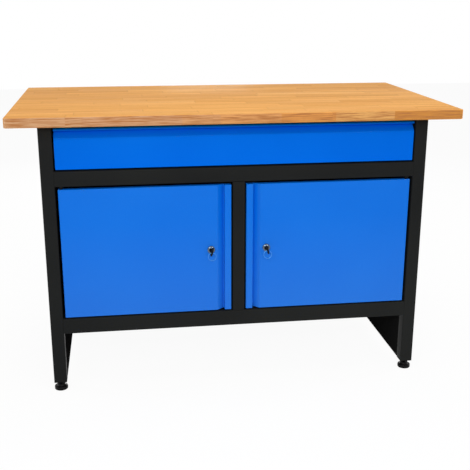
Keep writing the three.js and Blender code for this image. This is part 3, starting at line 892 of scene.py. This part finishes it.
KEY_HALF_WIDTH = 0.0042
KEY_TANG = -0.0205
KEY_TIP = 0.0132
KEY_POINT = 0.003
KEY_EDGE = 0.0003
KEY_GROOVE_DEPTH = 0.0004
KEY_GROOVE_Y = (-0.0075, 0.02)
KEY_GROOVE_Z = (-0.0012, 0)
KEY_BOW = (0, -0.027, 0)
KEY_BOW_HALF = 0.014
KEY_BOW_REACH = (0.0075, 0.0145)
KEY_BOW_THICKNESS = 0.005
KEY_BOW_ROUND = 0.0014
KEY_BOW_RIM = 0.0016
KEY_BOW_DISH = 0.0004
KEY_HOLE = (0, -0.0272, 0)
KEY_HOLE_RADIUS = 0.0035
KEY_HOLE_LENGTH = 0.01
RING_RADIUS = 0.0125
RING_WIRE = 0.0008
RING_LEAD = 4.2 * RING_WIRE
RING_PLAY = 0.0003
RING_STEPS = 96


def polished_plate(name, dark, light, rough):
    """Bright plating with faint wipe marks."""
    look = Finish(name)
    wipe = look.grain(look.place, (300, 300, 2400), detail=4, turn=(0, 0.6, 0))
    return look.finished({
        "Base Color": look.blend(wipe, dark, light),
        "Metallic": 1.0,
        "Roughness": look.roughness(wipe, rough),
    })


def hexagon(name, centre, radius, length, axis):
    """A hexagon nut or head along an axis, with its edges broken."""
    piece = rod(name, centre, radius, length, axis, facets=6)
    rounded(piece, lambda edge: not runs(axis)(edge), HEXAGON_EDGE, segments=2)
    return piece


def open_edge(edge):
    """A test for edges where the surface ends."""
    return len(edge.link_faces) == 1


# The chrome's dark blue-grey tone is a painted reflection of dark surroundings and the blue doors; bare
# chrome is brighter.
chrome = polished_plate("chrome", shade(78, 92, 108), shade(106, 120, 136), rough=(0.08, 0.16))
# The plug's dark colour is painted shade under the key and painted dark reflection; its plating is
# brighter.
painted_shade_plug = polished_plate("worn_plug", shade(38, 37, 34), shade(58, 56, 52), rough=(0.22, 0.36))
# The ring's blue colour is a painted reflection of the blue door, on a steel ring.
ring_steel = polished_plate("ring_steel", shade(84, 168, 244), shade(108, 186, 250), rough=(0.1, 0.18))
# The key's dark tone is painted shade; plated key steel is brighter.
key_steel = plated_steel(
    "key_steel", shade(58, 55, 49), shade(84, 80, 72), rough=(0.26, 0.4), scales=(300, 300, 2500)
)

barrel_thread = threaded(root=0.0084, crest=0.009, start=-0.0195, turns=12)
housing_outline = [*BARREL_MOUTH, *barrel_thread, *HOUSING_HEAD, BARREL_MOUTH[0]]
left_housing = turned("left_lock_housing_turned", left_lock_at, FORWARD, housing_outline, facets=64)

low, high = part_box("left_lock_nut")
nut_at = middle_of("left_lock_nut")
left_nut = hexagon("left_lock_nut_hexagon", nut_at, (high.z - low.z) / 2, high.y - low.y, Y)
combine(left_nut, rod("nut_bore", nut_at, NUT_BORE, NUT_BORE_LENGTH, Y, facets=40), "DIFFERENCE")

left_plug = turned("left_lock_plug_turned", (0, 0, 0), FORWARD, LOCK_PLUG_OUTLINE, facets=48)
combine(left_plug, block("keyway", *KEYWAY), "DIFFERENCE")
left_plug = placed(left_plug, KEY_LEAN, left_lock_at)

# The blade is a flat bar with a groove along each side and a pointed tip, and its tang is in the head.
half = KEY_THICKNESS / 2
left_blade = block("left_key_blade", (-half, KEY_TANG, -KEY_HALF_WIDTH), (half, KEY_TIP, KEY_HALF_WIDTH))
rounded(left_blade, lambda edge: runs(X)(edge) and edge.verts[0].co.y > 0, KEY_POINT, segments=1)
rounded(left_blade, runs(Y), KEY_EDGE, segments=2)
for flank in (-half, half):
    low = (flank - KEY_GROOVE_DEPTH, KEY_GROOVE_Y[0], KEY_GROOVE_Z[0])
    high = (flank + KEY_GROOVE_DEPTH, KEY_GROOVE_Y[1], KEY_GROOVE_Z[1])
    combine(left_blade, block("groove", low, high), "DIFFERENCE")
left_blade = placed(left_blade, KEY_LEAN, left_lock_at)

# The head is an egg shape of moulded plastic, narrow towards the blade, with a hole for the ring.
left_head = rod("left_key_head", KEY_BOW, KEY_BOW_HALF, KEY_BOW_THICKNESS, X, facets=56)
edit(left_head, "verts")
for way, reach in zip((-1, 1), KEY_BOW_REACH):
    pick(left_head, "verts", lambda vert: (vert.co.y - KEY_BOW[Y]) * way > SAME_PLACE)
    bpy.ops.transform.resize(value=(1, reach / KEY_BOW_HALF, 1), center_override=KEY_BOW)
leave()
rounded(left_head, lambda edge: not runs(X)(edge), KEY_BOW_ROUND, segments=4)
edit(left_head, "faces")
pick(left_head, "faces", square_to(X))
bpy.ops.mesh.inset(thickness=KEY_BOW_RIM)
bpy.ops.mesh.inset(thickness=KEY_BOW_DISH, depth=-KEY_BOW_DISH)
leave()
ring_hole = rod("ring_hole", KEY_HOLE, KEY_HOLE_RADIUS, KEY_HOLE_LENGTH, X, facets=32)
combine(left_head, ring_hole, "DIFFERENCE")
left_head = placed(left_head, KEY_LEAN, left_lock_at)

# The split ring is wire wound twice round, and hangs from the lower edge of the hole.
bpy.ops.mesh.primitive_circle_add(vertices=10, radius=RING_WIRE, rotation=(QUARTER_TURN, 0, 0))
left_ring = named("left_key_ring")
edit(left_ring, "verts")
bpy.ops.mesh.select_all(action="SELECT")
bpy.ops.transform.translate(value=(RING_RADIUS, 0, 0))
leave()
modify(
    left_ring, "SCREW", angle=4 * math.pi, screw_offset=RING_LEAD, steps=RING_STEPS,
    render_steps=RING_STEPS, use_merge_vertices=True, merge_threshold=MERGE_WITHIN,
)
edit(left_ring, "edges")
pick(left_ring, "edges", open_edge)
bpy.ops.mesh.edge_face_add()
look_outward()
leave()
hang = KEY_HOLE_RADIUS + RING_RADIUS - RING_WIRE - RING_PLAY
ring_at = left_lock_at + Vector((0, KEY_HOLE[Y] + RING_LEAD / 2, -hang))
left_ring = placed(left_ring, (QUARTER_TURN, 0, 0), ring_at)

# The cam is a flat lever, rounded at its eye, and a cross recessed screw holds it on the plug's end.
low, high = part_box("left_lock_cam")
left_cam = block("left_lock_cam_plate", low, (high.x, high.y, left_lock_at.z))
foot = low.z + SAME_PLACE
rounded(left_cam, lambda edge: runs(Y)(edge) and edge.verts[0].co.z < foot, CAM_CORNER, segments=4)
eye_at = (low + high) / 2
eye_at.z = left_lock_at.z
combine(left_cam, rod("cam_eye", eye_at, (high.x - low.x) / 2, high.y - low.y, Y, facets=40), "UNION")
rounded(left_cam, lambda edge: not runs(Y)(edge) and creased(CAM_CREASE)(edge), CAM_EDGE, segments=2)

left_cam_screw = turned("left_cam_screw_turned", (0, 0, 0), UPWARD, CAM_SCREW_OUTLINE, facets=24)
left_cam_screw = cross_recess(left_cam_screw, CAM_SCREW_OUTLINE[0][1], CAM_SCREW_RECESS)
left_cam_screw = placed(left_cam_screw, (-QUARTER_TURN, 0, 0), left_lock_at)

left_lock = (
    left_housing, left_nut, left_plug, left_blade, left_head, left_ring, left_cam, left_cam_screw
)
for side, (housing, nut, plug, blade, head, ring, cam, cam_screw) in sides(*left_lock):
    body = f"{side}_lock"
    mount(housing, f"{side}_door", "chrome", chrome, f"{body}_housing")
    mount(nut, f"{side}_door", "zinc_steel", zinc_plate, f"{body}_nut")
    mount(plug, body, "chrome", painted_shade_plug, f"{body}_plug")
    mount(blade, body, "key_steel", key_steel, f"{side}_key")
    mount(head, body, "black_plastic", black_plastic)
    mount(ring, body, "key_steel", ring_steel)
    mount(cam, body, "zinc_steel", zinc_plate, f"{body}_cam")
    mount(cam_screw, body, "zinc_steel", zinc_plate, f"{side}_cam_screw")


# Drawer runners
# Steel runners of three members that slide in each other, with black passivated zinc plating.
# The outer member is riveted to the side panel, and screws hold the inner one to the tray.

RUNNER_SHEET = 0.0015
RUNNER_BEND = 0.0018
RUNNER_SCREWS = (0.05, 0.28, 0.5)

left_members = []
for member in ("fixed", "middle", "inner"):
    low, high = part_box(f"left_runner_{member}")
    web, tip = (high.x, low.x) if member == "inner" else (low.x, high.x)
    line = [(high.z, tip), (high.z, web), (low.z, web), (low.z, tip)]
    sheet = RUNNER_SHEET if web > tip else -RUNNER_SHEET
    channel = folded(f"left_runner_{member}_channel", Y, low.y, high.y, line, sheet, [RUNNER_BEND] * 2)
    left_members.append(channel)
for side, (fixed_member, middle_member, inner_member) in sides(*left_members):
    mount(fixed_member, "frame", "zinc_steel", black_zinc, f"{side}_runner_fixed")
    mount(middle_member, f"{side}_runner", "zinc_steel", black_zinc, f"{side}_runner_middle")
    mount(inner_member, "drawer", "zinc_steel", black_zinc, f"{side}_runner_inner")

runner_head = placed(pan_head, (0, -QUARTER_TURN, 0))
low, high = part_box("left_runner_inner")
screw_places = [(high.x - RUNNER_SHEET, low.y + y, (low.z + high.z) / 2) for y in RUNNER_SCREWS]
for screw in both_sides(spaced(runner_head, "left_runner_screw", screw_places)):
    mount(screw, "drawer", "zinc_steel", zinc_plate)


# Drawer
# The front is folded from sheet like the doors and coated blue, with a grip groove along its top.
# Behind it is a black coated tray, whose upper edges are folded over into a hem.

DRAWER_STRIP = 0.007
DRAWER_BENDS = [0.003, 0.008, 0.002, 0.002, 0.0025, 0.003]
TRAY_SHEET = 0.00125
TRAY_BEND = 0.002
HEM_GAP = 0.0027
HEM_DROP = 0.01

# A darker, deeper copy of the doors' blue coat: painted shade under the worktop's overhang.
deep_blue_powder = powder_coat(
    "deep_blue_powder", shade(0, 101, 221), shade(2, 107, 226), shade(14, 119, 231),
    rough=(0.34, 0.46), specular=0, gloss=0.04,
)

low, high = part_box("drawer_front")
rear = high.y
groove_top = high.z - DRAWER_STRIP
groove_foot = groove_top - GROOVE_OPENING
line = [
    (rear, low.z), (FRONT, low.z), (FRONT, groove_foot), (GROOVE_BOTTOM, groove_top - GROOVE_FLOOR),
    (GROOVE_BOTTOM, groove_top), (FRONT, groove_top), (FRONT, high.z), (rear, high.z),
]
drawer_face = folded("drawer_front_pan", X, low.x, high.x, line, DOOR_SHEET, DRAWER_BENDS, DOOR_LIP)
mount(drawer_face, "drawer", "blue_powder", deep_blue_powder, "drawer_front")

low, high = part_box("drawer_tray")
tray = block("drawer_tray_box", low, high)
opened(tray, looks(Z, 1))
rounded(tray, inner_edge, TRAY_BEND, segments=4)
edit(tray, "edges")
pick(tray, "edges", open_edge)
bpy.ops.mesh.extrude_edges_move(TRANSFORM_OT_translate={"value": (0, 0, 0)})
half = (high - low) / 2
shrink = (1 - HEM_GAP / half.x, 1 - HEM_GAP / half.y, 1)
bpy.ops.transform.resize(value=shrink, center_override=middle_of("drawer_tray"))
bpy.ops.mesh.extrude_edges_move(TRANSFORM_OT_translate={"value": (0, 0, -HEM_DROP)})
leave()
thickened(tray, TRAY_SHEET)
mount(tray, "drawer", "black_powder", matt_black_painted_shade, "drawer_tray")


# Worktop
# A 29 mm slab of hardwood staves, glued edge to edge and butted end to end, with rounded corners.
# It is oiled, and coach screws hold it from below through the top rails.

TOP_LOW, TOP_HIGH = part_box("worktop")
TOP_CORNER = 0.01
TOP_EDGE = 0.0025
TOP_CREASE = 1.2
STAVE_WIDTH = 0.0441
STAVE_LENGTH = 0.36
ROW_SHIFT = 7.37
GRAIN_SHIFT = 9.0
PORE_DEPTH = 2.0
FACING = 0.6
STAVE_TONES = [
    (0, shade(230, 164, 91)), (0.25, shade(246, 181, 102)), (0.5, shade(252, 188, 108)),
    (0.75, shade(239, 174, 105)), (1, shade(255, 197, 121)),
]
EDGE_TONES = [
    (0, shade(223, 182, 143)), (0.16, shade(217, 172, 136)), (0.37, shade(228, 175, 127)),
    (0.45, shade(241, 178, 116)), (0.585, shade(234, 161, 86)), (0.7037, shade(246, 191, 117)),
    (0.8392, shade(220, 150, 68)),
]
COACH_X = -0.575
COACH_Y = (-0.2, 0.015, 0.23)
COACH_DROP = 0.0036
COACH_RADIUS = 0.0075
COACH_HEAD = 0.0054
WASHER_RISE = 0.003
WASHER_RADIUS = 0.011
WASHER_SHEET = 0.0012


def glued_staves(name):
    """Hardwood staves along x: each has its own tone and grain, with fine glue lines between them."""
    look = Finish(name)
    x = look.add("SeparateXYZ", {0: look.place}, X)
    y = look.add("SeparateXYZ", {0: look.place}, Y)

    def count(operation, first, second=0.0):
        return look.add("Math", {0: first, 1: second}, operation=operation)

    def row_of_tones(factor, tones, interpolation):
        colours = look.add("ValToRGB", {0: factor}, "Color")
        ramp = colours.node.color_ramp
        ramp.interpolation = interpolation
        ramp.elements.remove(ramp.elements[1])
        ramp.elements[0].color = tones[0][1]
        for at, tone in tones[1:]:
            ramp.elements.new(at).color = tone
        return colours

    def facing(axis):
        turn = look.add("SeparateXYZ", {0: look.place.node.outputs["Normal"]}, axis)
        return count("GREATER_THAN", count("ABSOLUTE", turn), FACING)

    # Rows of staves from the front edge, and staves of uneven length within each row.
    rows = count("DIVIDE", count("SUBTRACT", y, TOP_LOW.y), STAVE_WIDTH)
    row = count("FLOOR", rows)
    along = count("ADD", count("DIVIDE", x, STAVE_LENGTH), count("MULTIPLY", row, ROW_SHIFT))
    cell = {"W": along, "Scale": 1.0, "Randomness": 0.7}
    stave = look.add("TexVoronoi", cell, "Color", voronoi_dimensions="1D")
    joint = look.add("TexVoronoi", cell, voronoi_dimensions="1D", feature="DISTANCE_TO_EDGE")
    chance = look.add("SeparateColor", {0: stave}, 0)
    second_chance = look.add("SeparateColor", {0: stave}, 1)
    tones = row_of_tones(chance, STAVE_TONES, "LINEAR")

    # Grain: long streaks, fine fibres and short dark pores, shifted from stave to stave.
    shift = look.add("CombineXYZ", {0: count("MULTIPLY", chance, GRAIN_SHIFT), 1: second_chance, 2: chance})
    local = look.add("VectorMath", {0: look.place, 1: shift}, operation="ADD")
    streaks = look.grain(local, (2.2, 60, 60), detail=5, Distortion=0.4)
    fibres = look.grain(local, (14, 520, 520), detail=3)
    pores = look.grain(local, (55, 900, 900), detail=1)
    pore = look.spread(pores, (0.62, 0.74), (0, 0.45))
    tone = look.blend(look.spread(streaks, (0.35, 0.7), (0, 0.85)), tones, shade(219, 149, 77))
    tone = look.blend(look.spread(fibres, (0.35, 0.7), (0, 0.3)), tone, shade(255, 200, 123))

    # The front and rear edges show the flanks of the outer staves, and the ends show end grain.
    share = count("ADD", count("DIVIDE", x, TOP_HIGH.x - TOP_LOW.x), 0.5)
    edge_tones = row_of_tones(share, EDGE_TONES, "CONSTANT")
    edge_streak = look.spread(look.grain(local, (15, 60, 320), detail=4), (0.42, 0.64), (0, 1))
    tone = look.blend(facing(Y), tone, look.blend(edge_streak, edge_tones, shade(172, 111, 67)))
    ring_place = look.add("Mapping", {"Vector": local, "Scale": (1, 34, 80)})
    rings = look.add("TexWave", {"Vector": ring_place, "Scale": 1, "Distortion": 5, "Detail": 3}, "Fac")
    tone = look.blend(facing(X), tone, look.blend(rings, shade(196, 138, 82), shade(218, 162, 104)))
    tone = look.blend(pore, tone, shade(168, 108, 58))

    # Glue lines between the rows and at the butted ends.
    part = count("FRACT", rows)
    gap = count("MULTIPLY", count("MINIMUM", part, count("SUBTRACT", 1.0, part)), STAVE_WIDTH)
    row_line = look.spread(gap, (0.0002, 0.0007), (0.45, 0))
    end_line = look.spread(count("MULTIPLY", joint, STAVE_LENGTH), (0.0003, 0.0011), (0.5, 0))
    line = count("MAXIMUM", row_line, end_line)
    height = count("SUBTRACT", fibres, count("ADD", count("MULTIPLY", pore, PORE_DEPTH), line))
    return look.finished({
        "Base Color": look.blend(line, tone, shade(176, 118, 66)),
        "Roughness": look.roughness(streaks, (0.46, 0.6)),
        "Normal": look.bump(strength=0.12, distance=0.0004, height=height),
        "Specular IOR Level": 0.012,
    })


hardwood = glued_staves("hardwood")

worktop = block("worktop_slab", TOP_LOW, TOP_HIGH)
rounded(worktop, runs(Z), TOP_CORNER, segments=8)
rounded(worktop, creased(TOP_CREASE), TOP_EDGE, segments=4)
mount(worktop, "frame", "hardwood", hardwood, "worktop")

coach_screw = hexagon("coach_screw", (0, 0, 0), COACH_RADIUS, COACH_HEAD, Z)
washer = rod("washer", (0, 0, WASHER_RISE), WASHER_RADIUS, WASHER_SHEET, Z, facets=40)
combine(coach_screw, washer, "UNION")
coach_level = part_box("left_top_rail")[1].z - RAIL_WALL - COACH_DROP
screw_places = [(COACH_X, y, coach_level) for y in COACH_Y]
for screw in both_sides(spaced(coach_screw, "left_coach_screw", screw_places)):
    mount(screw, "frame", "zinc_steel", zinc_plate)


# Studio
# A pale floor and white surroundings, with a wide lamp above the camera and others around the bench.
# The camera stands where the photograph was taken from.

LENS = 62.375
CAMERA_AT = (-0.3612, -2.728, 1.2395)
YAW = 8.229
PITCH = 16.882
ROLL = 0.116
WORLD_LIGHT = 0.3
GROUND_SIZE = 16
GROUND_TONE = 0.95
GROUND_ROUGHNESS = 0.9
GROUND_GLOW = 0.94

eye = bpy.data.cameras.new("photo_camera")
eye.lens = LENS
camera = bpy.data.objects.new("photo_camera", eye)
bpy.context.scene.collection.objects.link(camera)
turns = (
    Matrix.Rotation(math.radians(-YAW), 4, "Z")
    @ Matrix.Rotation(math.radians(90 - PITCH), 4, "X")
    @ Matrix.Rotation(math.radians(ROLL), 4, "Z")
)
camera.matrix_world = Matrix.Translation(CAMERA_AT) @ turns
bpy.context.scene.camera = camera

for name, at, aim, width, height, power in (
    ("key_light", (-0.3, -2.85, 1.7), (0, 0, 0.55), 1.5, 0.16, 22.5),
    ("left_light", (-2.0, -3.2, 2.7), (0, 0, 0.45), 1.3, 1.3, 22.5),
    ("right_light", (1.9, -3.2, 2.7), (0, 0, 0.45), 1.3, 1.3, 25.5),
    ("top_light", (0.2, -0.4, 3.6), (0, 0, 0.6), 3.0, 3.0, 45),
    ("left_end_light", (-3.4, 0.5, 0.55), (0, 0, 0.55), 0.66, 0.66, 40),
    ("right_end_light", (3.4, 0.5, 0.55), (0, 0, 0.55), 0.66, 0.66, 40),
    ("rear_light", (0.3, 3.4, 0.55), (0, 0, 0.55), 0.66, 0.66, 45),
):
    lamp = bpy.data.lights.new(name, "AREA")
    lamp.shape = "RECTANGLE"
    lamp.size = width
    lamp.size_y = height
    lamp.energy = power
    lamp_object = bpy.data.objects.new(name, lamp)
    bpy.context.scene.collection.objects.link(lamp_object)
    lamp_object.location = at
    lamp_object.rotation_euler = (Vector(aim) - Vector(at)).to_track_quat("-Z", "Y").to_euler()


def seen_rays(tree):
    """One for rays from the camera, from a reflection or through clear matter, and nothing for others."""
    path = tree.nodes.new("ShaderNodeLightPath")
    seen = path.outputs["Is Camera Ray"]
    for kind in ("Is Glossy Ray", "Is Transmission Ray"):
        either = tree.nodes.new("ShaderNodeMath")
        either.operation = "MAXIMUM"
        tree.links.new(seen, either.inputs[0])
        tree.links.new(path.outputs[kind], either.inputs[1])
        seen = either.outputs[0]
    return seen


world = bpy.data.worlds.new("white_surroundings")
bpy.context.scene.world = world
world.use_nodes = True
tree = world.node_tree
strength = tree.nodes.new("ShaderNodeMapRange")
strength.inputs["To Min"].default_value = WORLD_LIGHT
tree.links.new(seen_rays(tree), strength.inputs["Value"])
tree.nodes["Background"].inputs["Color"].default_value = (1, 1, 1, 1)
tree.links.new(strength.outputs[0], tree.nodes["Background"].inputs["Strength"])

bpy.ops.mesh.primitive_plane_add(size=GROUND_SIZE)
ground = named("studio_floor")
pale = bpy.data.materials.new("pale_floor")
pale.use_nodes = True
tree = pale.node_tree
shader = tree.nodes["Principled BSDF"]
shader.inputs["Base Color"].default_value = (GROUND_TONE, GROUND_TONE, GROUND_TONE, 1)
shader.inputs["Roughness"].default_value = GROUND_ROUGHNESS
glow = tree.nodes.new("ShaderNodeEmission")
share = tree.nodes.new("ShaderNodeMath")
share.operation = "MULTIPLY"
share.inputs[1].default_value = GROUND_GLOW
tree.links.new(seen_rays(tree), share.inputs[0])
mixed = tree.nodes.new("ShaderNodeMixShader")
for number, source in enumerate((share, shader, glow)):
    tree.links.new(source.outputs[0], mixed.inputs[number])
tree.links.new(mixed.outputs[0], tree.nodes["Material Output"].inputs["Surface"])
ground.data.materials.append(pale)

bpy.context.scene.view_settings.view_transform = "Standard"
